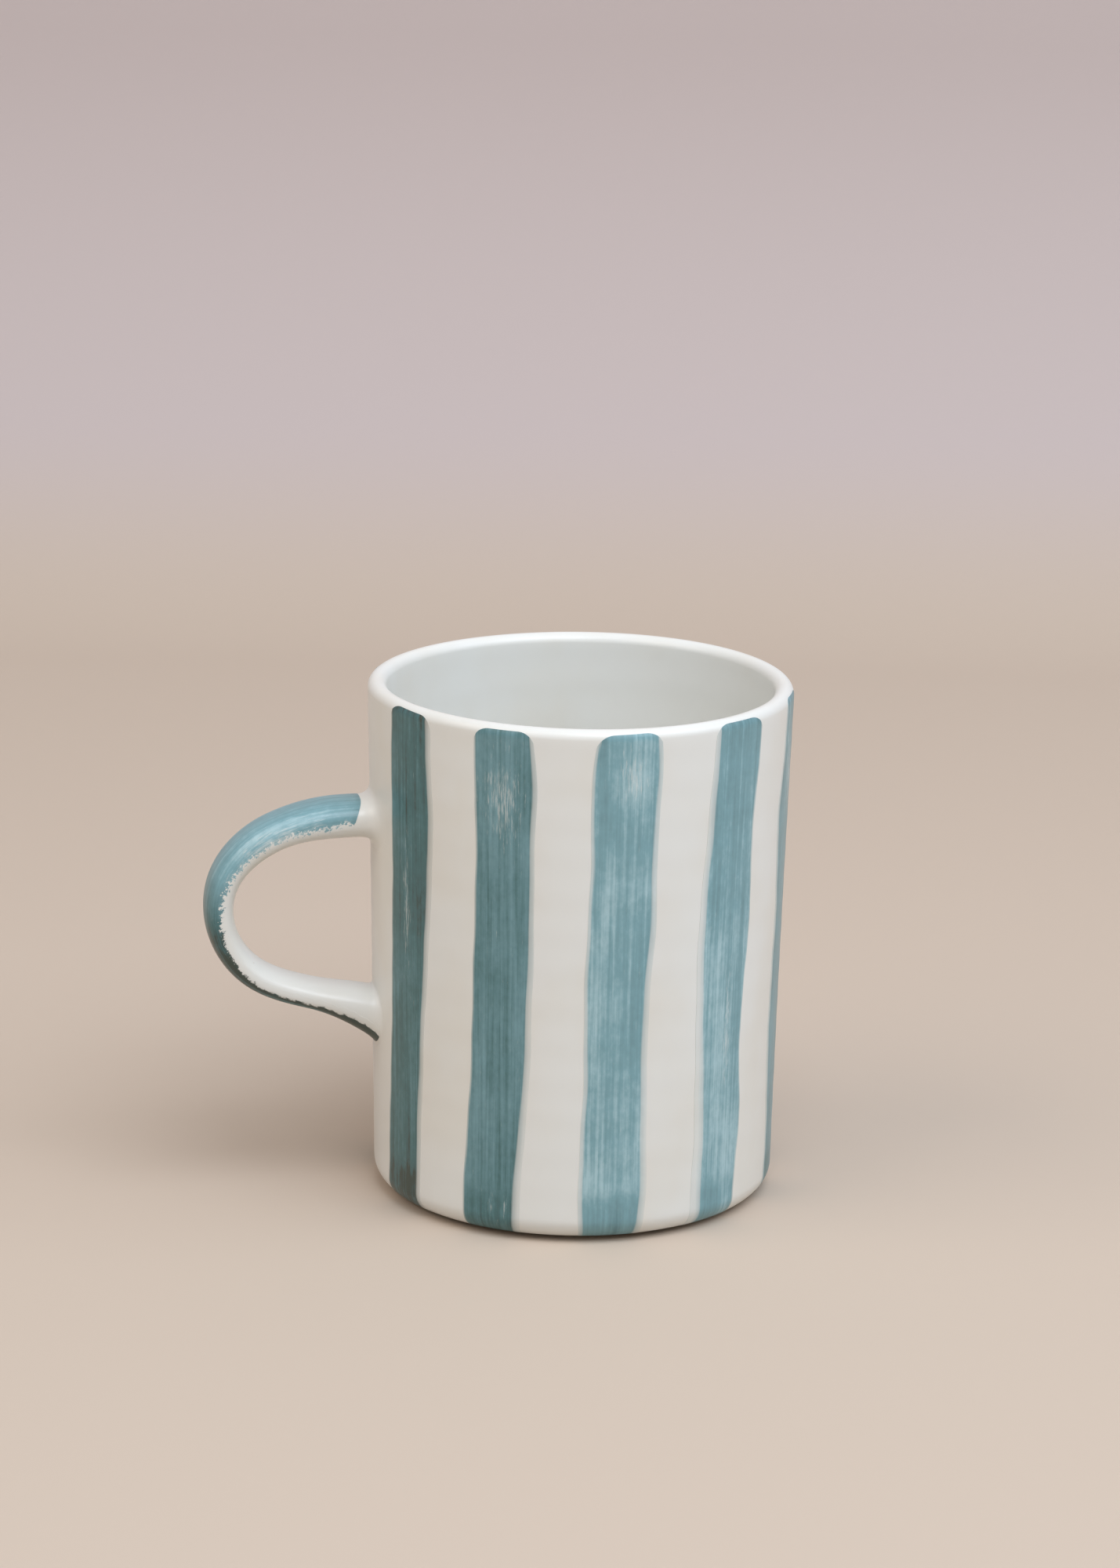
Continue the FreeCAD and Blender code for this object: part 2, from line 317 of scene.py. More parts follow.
def off_wall(point, depth):
    """The opposite of on_wall."""
    turn = np.arctan2(point[..., 1], point[..., 0]) % (2 * math.pi)
    z = point[..., 2]
    radius = np.hypot(point[..., 0], point[..., 1])
    off = radius - wall_radius(z) - out_of_round(turn, z) + depth
    return np.stack([(turn - HANDLE_TURN) * BELLY_R, z, off], axis=-1)


def share_off_wall(strap, turn, height, upper, depth):
    """Where along the strap its surface stands this far off the wall, near one of its joints."""
    near = np.zeros_like(turn) if upper else np.ones_like(turn)
    far = np.full_like(turn, JOINT_SEARCH[0] if upper else JOINT_SEARCH[1])
    for _ in range(HALVINGS):
        middle = (near + far) / 2
        outside = off_wall(strap.at(middle, turn), depth)[..., 2] > height
        far = np.where(outside, middle, far)
        near = np.where(outside, near, middle)
    return far


# Slip bead at each joint, in mm: how far it climbs the strap and how far it spreads on the wall
# at the strap's outer face, its sides and its inner face.
UPPER_BEAD = {"climb": (2.6, 3.6, 3.0), "spread": (1.8, 3.2, 2.2)}
LOWER_BEAD = {"climb": (3.0, 2.6, 1.2), "spread": (1.2, 1.5, 0.8)}


def round_strap(sizes, turn):
    outer, side, inner = (size * MM for size in sizes)
    up = np.sin(turn)
    return side * np.cos(turn) ** 2 + np.where(up > 0, outer, inner) * up ** 2


def bead_rows(strap, turn, sizes, upper, depth):
    """Rings of a slip bead, from the strap down to the wall, and the share where it leaves the strap."""
    foot_share = share_off_wall(strap, turn, 0.0 * turn, upper, depth)
    foot = off_wall(strap.at(foot_share, turn), depth)
    foot[:, 2] = 0
    climb = round_strap(sizes["climb"], turn)
    top_share = share_off_wall(strap, turn, climb, upper, depth)
    top = off_wall(strap.at(top_share, turn), depth)
    tangent = np.roll(foot, -1, axis=0) - np.roll(foot, 1, axis=0)
    away = np.column_stack([tangent[:, 1], -tangent[:, 0]])
    away /= np.linalg.norm(away, axis=1)[:, None]
    centre = foot[:, :2].mean(axis=0)
    away *= np.sign(((foot[:, :2] - centre) * away).sum(axis=1))[:, None]
    toe = foot.copy()
    toe[:, :2] += away * round_strap(sizes["spread"], turn)[:, None]
    rows = []
    for step in range(1, BEAD_STEPS + 1):
        s = step / BEAD_STEPS
        rows.append(on_wall((1 - s) ** 2 * top + 2 * s * (1 - s) * foot + s * s * toe, depth))
    inside = toe.copy()
    inside[:, 2] = -BEAD_BURIED
    return top_share, rows, on_wall(inside, depth)


def handle_grid(depth):
    """Rings of the whole handle, upper joint first, with the buried ends left out, and the two ends."""
    strap = Strap(depth)
    turn = np.arange(STRAP_SIDES) * 2 * math.pi / STRAP_SIDES
    top_share, upper_rows, upper_end = bead_rows(strap, turn, UPPER_BEAD, True, depth)
    low_share, lower_rows, lower_end = bead_rows(strap, turn, LOWER_BEAD, False, depth)
    rows = upper_rows[::-1]
    for step in range(STRAP_STEPS):
        share = top_share + (low_share - top_share) * step / (STRAP_STEPS - 1)
        rows.append(strap.at(share, turn))
    return np.array(rows + lower_rows), upper_end, lower_end


def handle_piece(name, depth):
    grid, upper_end, lower_end = handle_grid(depth)
    rings = np.concatenate([upper_end[None], grid, lower_end[None]])
    points = rings[:, ::-1].reshape(-1, 3)
    faces = grid_faces(len(rings), STRAP_SIDES, True)
    ends = np.array([upper_end.mean(axis=0), lower_end.mean(axis=0)])
    last = (len(rings) - 1) * STRAP_SIDES
    for side in range(STRAP_SIDES):
        beside = (side + 1) % STRAP_SIDES
        faces.append((beside, side, len(points)))
        faces.append((last + side, last + beside, len(points) + 1))
    return make_mesh(name, np.vstack([points, ends]), faces, sharp=60)


# ---------------------------------------------------------------- painted bands

# Edges of the bands whose brush strokes are listed: height, left edge and right edge, in mm.
# Left and right are counted from the band's own middle line, looking at the wall from outside.
STROKES = {
    1: ((0, -7.7, 4.3), (9, -7.2, 4.4), (30, -5.9, 5.2), (56, -4.9, 7.0), (77, -4.6, 8.1), (90, -4.6, 7.7),
        (100, -4.4, 7.5)),
    2: ((0, -7.2, 4.6), (9, -7.0, 4.9), (22, -6.3, 5.8), (40, -5.3, 6.7), (60, -5.0, 7.0), (80, -4.6, 7.1),
        (91, -5.1, 7.2), (100, -4.8, 6.4)),
    3: ((0, -7.0, 5.5), (10, -7.1, 6.1), (30, -6.6, 5.8), (47, -6.6, 5.8), (60, -6.4, 6.5), (82, -5.9, 6.6),
        (91, -6.0, 6.9), (100, -4.8, 6.4)),
    4: ((0, -6.9, 4.9), (9, -6.7, 5.4), (18, -6.3, 6.3), (31, -6.6, 5.5), (46, -7.0, 5.6), (68, -6.8, 6.4),
        (77, -6.2, 6.0), (88, -5.5, 6.9), (100, -4.8, 7.4)),
    5: ((0, -6.6, 5.6), (12, -5.4, 6.0), (26, -6.4, 6.2), (50, -6.5, 5.7), (61, -6.2, 6.3), (79, -7.7, 5.4),
        (91, -5.6, 6.6), (100, -5.4, 6.2)),
}
# How thin the colour lies at the top and at the foot: 0 is the deepest, 1 the palest
TONES = {1: (0.20, 0.24), 2: (0.43, 0.42), 3: (0.73, 0.86), 4: (0.68, 0.92), 5: (0.66, 0.6), 6: (0.55, 0.5),
         7: (0.76, 0.7), 8: (0.44, 0.38), 9: (0.66, 0.72), 10: (0.5, 0.6)}
# Width of the thin wash beside the stroke, in mm: at the foot and at the top, left then right
WASHES = {1: (0.5, 0.4, 1.2, 1.3), 2: (0.4, 0.3, 1.6, 0.7), 3: (0.9, 0.5, 1.5, 0.8), 4: (2.6, 1.0, 0.4, 0.4),
          5: (1.2, 0.8, 0.8, 0.6)}
# Patches where the brush ran dry, and two small pale flecks near band 2's foot: height, place across the
# band, and reach up and across, all in mm
DRY_PATCHES = {1: ((62, 0.5, 12, 1.0),), 2: ((86, 0.8, 8, 3.6), (7, -1.0, 2.0, 0.5), (6.5, 1.8, 2.0, 0.5)),
               3: ((91, 1.5, 5, 2.6),), 4: ((40, 1, 12, 1.0),), 5: ((84, 0, 8, 3),)}
BAND_ACROSS = 28
BAND_ALONG = 200
CORNER_R = 3.0 * MM          # rounding of a stroke's top corners
HALF_STROKE = 6 * MM         # half the brush's width, for that rounding
BAND_BURIED = 0.2 * MM       # how far each band runs down into the glaze
BAND_START = 0.02            # share of the way up the outside where the strokes begin
TREMBLE = 0.07 * MM          # how far the edges of a stroke shake
MAP_MARGIN = 0.02            # clear border round each band in its bake map
NEXT_STROKE = (40, 130)      # mm between the brush patterns of neighbouring bands, so that no two match
OTHER_DRY_PATCH = ((84, 0.5, 10, 2.6),)
OTHER_WASH = (0.8, 0.6, 1.1, 0.8)

rng = random.Random(7)


def wandering(low, high):
    """A stroke for a band on the far side: the same width of brush, drifting a little."""
    lean = rng.uniform(-0.7, 0.7)
    rows = []
    for height in (0, 10, 22, 38, 55, 70, 84, 92, 100):
        drift = lean * (height - 50) / 50
        rows.append((height, low + drift + rng.uniform(-0.4, 0.4), high + drift + rng.uniform(-0.4, 0.4)))
    return tuple(rows)


def outside_path():
    """The glazed outside as distance up it, radius, height and the direction that faces out."""
    line = outside_line(0, 3)
    up = np.concatenate([[0], np.cumsum(np.linalg.norm(np.diff(line, axis=0), axis=1))])
    ahead = np.gradient(line, axis=0)
    ahead /= np.linalg.norm(ahead, axis=1)[:, None]
    return up, line[:, 0], line[:, 1], ahead[:, 1], -ahead[:, 0]


PATH = outside_path()


def on_outside(up, turn, off):
    """World point this far up the outside, at this turn round it and this far off the glaze."""
    distance, radii, heights, out_r, out_z = PATH
    radius = np.interp(up, distance, radii)
    z = np.interp(up, distance, heights)
    radius = radius + out_of_round(turn, z) + off * np.interp(up, distance, out_r)
    z = z + off * np.interp(up, distance, out_z)
    return np.stack([radius * np.cos(turn), radius * np.sin(turn), z], axis=-1)


def slab(name, top, bottom, maps, values):
    """Closed thin solid between two grids of points, with the same maps on both."""
    rows, columns = top.shape[:2]
    count = rows * columns
    faces = grid_faces(rows, columns, False)
    faces += [face[::-1] for face in grid_faces(rows, columns, False, count)]
    rim = list(range(columns))
    rim += [row * columns + columns - 1 for row in range(1, rows)]
    rim += [(rows - 1) * columns + column for column in range(columns - 2, -1, -1)]
    rim += [row * columns for row in range(rows - 2, 0, -1)]
    for here, ahead in zip(rim, rim[1:] + rim[:1]):
        faces.append((ahead, here, count + here, count + ahead))
    points = np.concatenate([top.reshape(-1, 3), bottom.reshape(-1, 3)])
    twice = {key: np.tile(np.asarray(places).reshape(count, 2), (2, 1)) for key, places in maps.items()}
    both = {key: np.tile(np.asarray(numbers).reshape(count), 2) for key, numbers in values.items()}
    return make_mesh(name, points, faces, twice, both, sharp=50)


def bake_map(u, v):
    """Each band's own bake map: the whole square, inside a clear border."""
    inner = 1 - 2 * MAP_MARGIN
    return np.stack(np.broadcast_arrays(MAP_MARGIN + inner * (u + 1) / 2, MAP_MARGIN + inner * v), axis=-1)


def dry_at(patches, across, up):
    """How dry the brush was: 1 in the middle of a dry patch, 0 away from it."""
    dry = np.zeros_like(across)
    for height, aside, tall, wide in patches:
        reach = ((up - height * MM) / (tall * MM)) ** 2 + ((across - aside * MM) / (wide * MM)) ** 2
        dry = np.maximum(dry, np.exp(-reach))
    return dry


def wall_band(number):
    """One brushed band, hugging the glazed wall from under the heel up on to the lip."""
    lo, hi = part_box("wall_band_%02d" % number)
    middle_turn = math.atan2((lo.y + hi.y) / 2, (lo.x + hi.x) / 2)
    stroke = np.array(STROKES[number] if number in STROKES else wandering(-6.2, 6.2))
    up_all, _, heights = PATH[:3]
    start = float(up_all[-1] * BAND_START)
    lip_up = float(np.interp(LIP_Z, heights, up_all))
    end = lip_up + LIP_R * math.radians(rng.uniform(34, 44))
    slant = rng.uniform(-0.35, 0.35) * MM
    u = np.linspace(-1, 1, BAND_ACROSS)[None, :]
    v = np.linspace(0, 1, BAND_ALONG)[:, None]
    near_corner = np.clip((np.abs(u) * HALF_STROKE - (HALF_STROKE - CORNER_R)) / CORNER_R, 0, 1)
    top = end + slant * u - CORNER_R * 0.8 * (1 - np.sqrt(1 - near_corner ** 2 * 0.96))
    up = start + (top - start) * v
    z = np.interp(up, up_all, heights)
    smooth = smooth_curve(stroke, 200)
    left = np.interp(z / MM, smooth[:, 0], smooth[:, 1]) * MM
    right = np.interp(z / MM, smooth[:, 0], smooth[:, 2]) * MM
    tremble = [rng.uniform(0, 6) for _ in range(4)]
    left = left + TREMBLE * (np.sin(z / (2.3 * MM) + tremble[0]) + np.sin(z / (5.1 * MM) + tremble[1]))
    right = right + TREMBLE * (np.sin(z / (2.7 * MM) + tremble[2]) + np.sin(z / (4.4 * MM) + tremble[3]))
    across = left + (right - left) * (u + 1) / 2
    turn = middle_turn + across / BELLY_R
    foot_l, top_l, foot_r, top_r = WASHES.get(number, OTHER_WASH)
    share = z / HEIGHT
    wash_l = (foot_l + (top_l - foot_l) * share) * MM
    wash_r = (foot_r + (top_r - foot_r) * share) * MM
    edge = np.minimum(across - left - wash_l, right - across - wash_r)
    maps = {
        "OFBake": bake_map(u, v),
        "brush_mm": np.stack([across / MM + NEXT_STROKE[0] * number, up / MM + NEXT_STROKE[1] * number],
                             axis=-1),
    }
    values = {
        "edge_mm": edge / MM,
        "foot_mm": (up - start) / MM,
        "end_mm": np.broadcast_to((top - up) / MM, up.shape),
        "dry": dry_at(DRY_PATCHES.get(number, OTHER_DRY_PATCH), across, z),
        "tone": TONES[number][0] * share + TONES[number][1] * (1 - share),
        "ragged": np.zeros(up.shape),
    }
    piece = slab("blue_band_%02d" % number, on_outside(up, turn, PAINT), on_outside(up, turn, -BAND_BURIED),
                 maps, values)
    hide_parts("wall_band_%02d" % number)
    return piece


# The handle's band: how far round from the middle of the outer face both its edges run, in degrees,
# at shares of its length from the upper joint.
HANDLE_EDGE = ((0.0, 102), (0.10, 114), (0.30, 117), (0.45, 113), (0.56, 109), (0.68, 99),
               (0.82, 95), (0.93, 87), (1.0, 74))
HANDLE_FRINGE = 1.5          # mm at each side of the handle's band where the brush ran out in teeth
HANDLE_BAND_ALONG = 260
HANDLE_BAND_ACROSS = 36
HANDLE_BAND_MM = 60          # rough length of the band, for its pooled end
HANDLE_BAND_FIRST = BEAD_STEPS - 0.5   # the ring that it begins at
HANDLE_BAND_REST = 4.0       # rings left bare at the lower joint
HANDLE_BLUNT = 5.0           # rings that its corners are rounded by at the top
HANDLE_STROKE = 900          # mm along the brush pattern, clear of the wall's bands


def handle_band():
    """The band along the outside of the strap, from near the upper joint down to the lower."""
    grid = handle_grid(0)[0]
    rows = len(grid)
    last = rows - HANDLE_BAND_REST
    v = np.linspace(0, 1, HANDLE_BAND_ALONG)[:, None]
    u = np.linspace(-1, 1, HANDLE_BAND_ACROSS)[None, :]
    blunt = HANDLE_BLUNT * (1 - np.sqrt(1 - (u * 0.98) ** 2))
    row = HANDLE_BAND_FIRST + blunt * (1 - v) ** 2 + (last - HANDLE_BAND_FIRST) * v
    half_turn = np.radians(eased(v, HANDLE_EDGE))
    ragged = 1 + 0.02 * np.sin(v * 97 + 1.3) + 0.015 * np.sin(v * 211 + 0.4)
    turn = math.pi / 2 - u * half_turn * ragged
    column = (turn % (2 * math.pi)) / (2 * math.pi) * STRAP_SIDES

    def sample(field):
        r0 = np.clip(np.floor(row).astype(int), 0, rows - 2)
        c0 = np.floor(column).astype(int) % STRAP_SIDES
        fr, fc = (row - r0)[..., None], (column - np.floor(column))[..., None]
        c1 = (c0 + 1) % STRAP_SIDES
        near = field[r0, c0] * (1 - fc) + field[r0, c1] * fc
        far = field[r0 + 1, c0] * (1 - fc) + field[r0 + 1, c1] * fc
        return near * (1 - fr) + far * fr

    along = np.gradient(grid, axis=0)
    around = (np.roll(grid, -1, axis=1) - np.roll(grid, 1, axis=1)) / 2
    face = np.cross(around, along)
    face /= np.linalg.norm(face, axis=-1)[..., None]
    middle = grid.mean(axis=1, keepdims=True)
    if ((grid - middle) * face).sum() < 0:
        face = -face
    surface, out = sample(grid), sample(face)
    step_along = np.linalg.norm(np.diff(surface, axis=0, prepend=surface[:1]), axis=-1).cumsum(axis=0)
    centre = HANDLE_BAND_ACROSS // 2
    step_across = np.linalg.norm(np.diff(surface, axis=1, prepend=surface[:, :1]), axis=-1).cumsum(axis=1)
    across = step_across - step_across[:, centre:centre + 1]
    edge = np.minimum(step_across, step_across[:, -1:] - step_across)
    length = step_along[:, centre:centre + 1] + 0 * across
    maps = {
        "OFBake": bake_map(u, v),
        "brush_mm": np.stack([across / MM + HANDLE_STROKE, length / MM], axis=-1),
    }
    shape = across.shape
    dry = 1.1 * np.exp(-((v - 0.22) / 0.15) ** 2) * np.clip((np.abs(u) - 0.2) / 0.6, 0, 1)
    values = {
        "edge_mm": edge / MM - HANDLE_FRINGE,
        "foot_mm": np.broadcast_to((1 - v) * HANDLE_BAND_MM, shape),
        "end_mm": length / MM,
        "dry": np.broadcast_to(dry, shape),
        # tone falls to the deepest green-grey down the strap's lower half: partly its darker colour there,
        # partly painted shade of the strap's underside
        "tone": np.broadcast_to(0.73 - 0.70 * np.clip((v - 0.37) / 0.15, 0, 1), shape),
        "ragged": np.broadcast_to(1 - 0.78 * np.clip(v * 3.2 - 1.2, 0, 1), shape),
    }
    piece = slab("blue_band_on_handle", surface + out * PAINT, surface - out * BAND_BURIED, maps, values)
    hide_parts("handle_band")
    return piece


# ---------------------------------------------------------------- finishes

def colour(hex_value):
    """sRGB hex to the linear colour that the shaders take."""
    parts = [int(hex_value[i:i + 2], 16) / 255 for i in (1, 3, 5)]
    linear = [part / 12.92 if part <= 0.04045 else ((part + 0.055) / 1.055) ** 2.4 for part in parts]
    return (*linear, 1.0)


def add(tree, kind, inputs=None, **settings):
    """Adds a node. inputs maps its sockets, by name or number, to a value, a socket or a node."""
    made = tree.nodes.new(kind)
    for key, value in settings.items():
        setattr(made, key, value)
    for key, value in (inputs or {}).items():
        if isinstance(value, bpy.types.Node):
            value = value.outputs[0]
        if isinstance(value, bpy.types.NodeSocket):
            tree.links.new(value, made.inputs[key])
        else:
            made.inputs[key].default_value = value
    return made


def grain(tree, place, per_mm, detail=2.0, rough=0.5):
    """A cloudy pattern on a place given in mm, with this many grains per mm each way."""
    spread = add(tree, "ShaderNodeVectorMath", {0: place, 1: per_mm}, operation="MULTIPLY")
    made = add(tree, "ShaderNodeTexNoise", {"Vector": spread, "Scale": 1.0, "Detail": detail,
                                            "Roughness": rough})
    return made.outputs["Fac"]


def new_finish(name):
    material = bpy.data.materials.new(name)
    material.use_nodes = True
    tree = material.node_tree
    return material, tree, tree.nodes["Principled BSDF"]


def object_mm(tree):
    """Place on the object in millimetres."""
    place = add(tree, "ShaderNodeTexCoord").outputs["Object"]
    return add(tree, "ShaderNodeVectorMath", {0: place, "Scale": 1 / MM}, operation="SCALE").outputs[0]


CREAM = "#E3E4DF"            # the off-white of the glazed clay
CREAM_WARM = "#E0DED5"       # where the glaze lies a little thicker
IRON_SPECK = "#A88F6C"
GLAZE_CLOUDS = (0.05, 0.05, 0.035)    # clouds 20 mm across and 29 mm tall
SPECKS_PER_MM = 0.11         # one place for a speck every 9 mm
SPECK_R = (0.012, 0.035)     # as a share of that spacing, so a speck is 0.1 mm in radius and fades by 0.3 mm
SPECK_PATCHES = (0.11, 0.11, 0.11)    # patches 9 mm across, of which a few have specks
SPECK_STRENGTH = 0.22
GLOSS_PATCHES = (0.09, 0.09, 0.07)    # the shine drifts over 11 to 14 mm
GLOSS = (0.28, 0.36)


def cream_colour(tree, place):
    """Off-white with the faint clouding of a dipped glaze and a few pale tan specks."""
    cloud = grain(tree, place, GLAZE_CLOUDS, 3.0)
    cloudy = add(tree, "ShaderNodeMapRange", {0: cloud, 1: 0.35, 2: 0.75}, interpolation_type="SMOOTHSTEP")
    ground = add(tree, "ShaderNodeMix", {0: cloudy, 6: colour(CREAM), 7: colour(CREAM_WARM)},
                 data_type="RGBA")
    cells = add(tree, "ShaderNodeTexVoronoi", {"Vector": place, "Scale": SPECKS_PER_MM, "Randomness": 1.0})
    clear = add(tree, "ShaderNodeMapRange", {0: cells.outputs["Distance"], 1: SPECK_R[0], 2: SPECK_R[1]},
                interpolation_type="SMOOTHSTEP")
    speck = add(tree, "ShaderNodeMath", {0: 1.0, 1: clear}, operation="SUBTRACT")
    patches = grain(tree, place, SPECK_PATCHES, 1.0)
    chosen = add(tree, "ShaderNodeMapRange", {0: patches, 1: 0.58, 2: 0.64}, interpolation_type="SMOOTHSTEP")
    shown = add(tree, "ShaderNodeMath", {0: speck, 1: chosen}, operation="MULTIPLY")
    faint = add(tree, "ShaderNodeMath", {0: shown, 1: SPECK_STRENGTH}, operation="MULTIPLY")
    specked = add(tree, "ShaderNodeMix", {0: faint, 6: ground.outputs[2], 7: colour(IRON_SPECK)},
                  data_type="RGBA")
    return specked.outputs[2]


def glaze_gloss(tree, shader, place):
    """Satin gloss: a clear fired glaze whose shine varies a little, as a dipped coat's does."""
    uneven = grain(tree, place, GLOSS_PATCHES, 1.0)
    roughness = add(tree, "ShaderNodeMapRange", {0: uneven, 1: 0.0, 2: 1.0, 3: GLOSS[0], 4: GLOSS[1]})
    tree.links.new(roughness.outputs[0], shader.inputs["Roughness"])
    shader.inputs["IOR"].default_value = 1.5


def cream_glaze():
    """Clear satin glaze over off-white stoneware: soft wide highlights, faint clouds, rare specks."""
    material, tree, shader = new_finish("satin_glaze_over_off_white_stoneware")
    place = object_mm(tree)
    tree.links.new(cream_colour(tree, place), shader.inputs["Base Color"])
    glaze_gloss(tree, shader, place)
    return material


# Grains per mm of the brushed colour, across the stroke and along it
HAIRS = (2.1, 0.045, 1)      # one bristle's line, 0.5 mm wide and 22 mm long
STREAKS = (0.85, 0.022, 1)   # a tuft's line, 1.2 mm wide and 45 mm long
CLOUDS = (0.10, 0.06, 1)     # where the brush held more or less colour, 10 mm by 17 mm
MOTTLE = (0.9, 0.5, 1)       # the settled pigment, 1.1 mm by 2 mm
TEETH = (1.5, 1.2, 1)        # the ragged edge of a dry stroke, 0.7 mm
SKIPS = (3.2, 0.30, 1)       # bare slots between bristles, 0.3 mm wide and 3 mm long
# The colour from its deepest (where it pooled, and the painted shade along the handle's underside) to its
# palest, where it is nearly dry
BLUE_DEEPEST = "#3D4B44"
BLUE_PALEST = "#A5C5CB"
BLUES = ((0.10, "#456668"), (0.22, "#497072"), (0.38, "#5C8388"), (0.58, "#70969D"), (0.76, "#7AA3AB"))


def brushed_blue():
    """Grey-blue slip laid on with a flat brush under the glaze: streaks, thin wash edges, pooled ends."""
    material, tree, shader = new_finish("brushed_grey_blue_slip_under_satin_glaze")
    brush = add(tree, "ShaderNodeUVMap", uv_map="brush_mm").outputs[0]
    tone = add(tree, "ShaderNodeAttribute", attribute_name="tone").outputs["Fac"]
    dry = add(tree, "ShaderNodeAttribute", attribute_name="dry").outputs["Fac"]
    ragged = add(tree, "ShaderNodeAttribute", attribute_name="ragged").outputs["Fac"]
    foot_mm = add(tree, "ShaderNodeAttribute", attribute_name="foot_mm").outputs["Fac"]
    end_mm = add(tree, "ShaderNodeAttribute", attribute_name="end_mm").outputs["Fac"]
    edge_mm = add(tree, "ShaderNodeAttribute", attribute_name="edge_mm").outputs["Fac"]
    hairs = grain(tree, brush, HAIRS)
    streaks = grain(tree, brush, STREAKS)
    clouds = grain(tree, brush, CLOUDS, 3.0)
    mottle = grain(tree, brush, MOTTLE, 3.0, 0.6)

    # how thin the colour lies, with painted shade on the handle's lower half brought in by tone: streaked all
    # over, pooled at the foot and the top end, paler where dry
    depth = tone
    for part, weight in ((clouds, 0.50), (streaks, 0.58), (hairs, 0.42), (mottle, 0.30)):
        centred = add(tree, "ShaderNodeMath", {0: part, 1: 0.5}, operation="SUBTRACT")
        depth = add(tree, "ShaderNodeMath", {0: centred, 1: weight, 2: depth}, operation="MULTIPLY_ADD")
    ragged_foot = add(tree, "ShaderNodeMath", {0: hairs, 1: -7.0, 2: foot_mm}, operation="MULTIPLY_ADD")
    above_foot = add(tree, "ShaderNodeMapRange", {0: ragged_foot, 1: 3.0, 2: 7.5},
                     interpolation_type="SMOOTHSTEP")
    pooled = add(tree, "ShaderNodeMath", {0: 1.0, 1: above_foot}, operation="SUBTRACT")
    depth = add(tree, "ShaderNodeMath", {0: pooled, 1: -0.20, 2: depth}, operation="MULTIPLY_ADD")
    depth = add(tree, "ShaderNodeMath", {0: dry, 1: 0.14, 2: depth}, operation="MULTIPLY_ADD")
    below_end = add(tree, "ShaderNodeMapRange", {0: end_mm, 1: 0.2, 2: 1.6}, interpolation_type="SMOOTHSTEP")
    near_end = add(tree, "ShaderNodeMath", {0: 1.0, 1: below_end}, operation="SUBTRACT")
    depth = add(tree, "ShaderNodeMath", {0: near_end, 1: -0.12, 2: depth}, operation="MULTIPLY_ADD")
    ramp = add(tree, "ShaderNodeValToRGB", {0: depth})
    stops = ramp.color_ramp.elements
    stops[0].color = colour(BLUE_DEEPEST)
    stops[1].color = colour(BLUE_PALEST)
    for place, shade in BLUES:
        stops.new(place).color = colour(shade)

    # the stroke's edge: streaky on the wall, toothed where the brush ran dry, with a thin wash beside it
    centred = add(tree, "ShaderNodeMath", {0: streaks, 1: 0.5}, operation="SUBTRACT")
    edge = add(tree, "ShaderNodeMath", {0: centred, 1: 0.9, 2: edge_mm}, operation="MULTIPLY_ADD")
    teeth = add(tree, "ShaderNodeMath", {0: grain(tree, brush, TEETH, 3.0, 0.7), 1: 0.5},
                operation="SUBTRACT")
    bite = add(tree, "ShaderNodeMath", {0: teeth, 1: 5.5}, operation="MULTIPLY")
    edge = add(tree, "ShaderNodeMath", {0: bite, 1: ragged, 2: edge}, operation="MULTIPLY_ADD")
    body = add(tree, "ShaderNodeMapRange", {0: edge, 1: -0.30, 2: 0.15}, interpolation_type="SMOOTHSTEP")
    inward = add(tree, "ShaderNodeMapRange", {0: edge, 1: -1.5, 2: 0.0}, interpolation_type="SMOOTHSTEP")
    thin = add(tree, "ShaderNodeMath", {0: inward, 1: -0.36, 2: 0.86}, operation="MULTIPLY_ADD")
    toothed = add(tree, "ShaderNodeMapRange", {0: ragged, 1: 0.05, 2: 0.15}, interpolation_type="SMOOTHSTEP")
    thin = add(tree, "ShaderNodeMath", {0: thin, 1: toothed}, operation="MAXIMUM")
    cream = cream_colour(tree, object_mm(tree))
    wash = add(tree, "ShaderNodeMix", {0: thin, 6: ramp, 7: cream}, data_type="RGBA")
    painted = add(tree, "ShaderNodeMix", {0: body, 6: wash.outputs[2], 7: ramp}, data_type="RGBA")

    # bare slots between the bristles
    slots = grain(tree, brush, SKIPS, 3.0, 0.65)
    skips = add(tree, "ShaderNodeMath", {0: dry, 1: 0.24, 2: slots}, operation="MULTIPLY_ADD")
    open_slots = add(tree, "ShaderNodeMapRange", {0: skips, 1: 0.62, 2: 0.86},
                     interpolation_type="SMOOTHSTEP")
    bare = add(tree, "ShaderNodeMath", {0: open_slots, 1: 0.42}, operation="MULTIPLY")
    finished = add(tree, "ShaderNodeMix", {0: bare, 6: painted.outputs[2], 7: cream}, data_type="RGBA")
    tree.links.new(finished.outputs[2], shader.inputs["Base Color"])
    glaze_gloss(tree, shader, object_mm(tree))
    return material


GROG = (2.5, 2.5, 2.5)       # grit of 0.4 mm in the clay
CLAY_CLOUDS = (0.08, 0.08, 0.08)      # darker patches 12 mm across
GROG_HEIGHT = 0.08 * MM


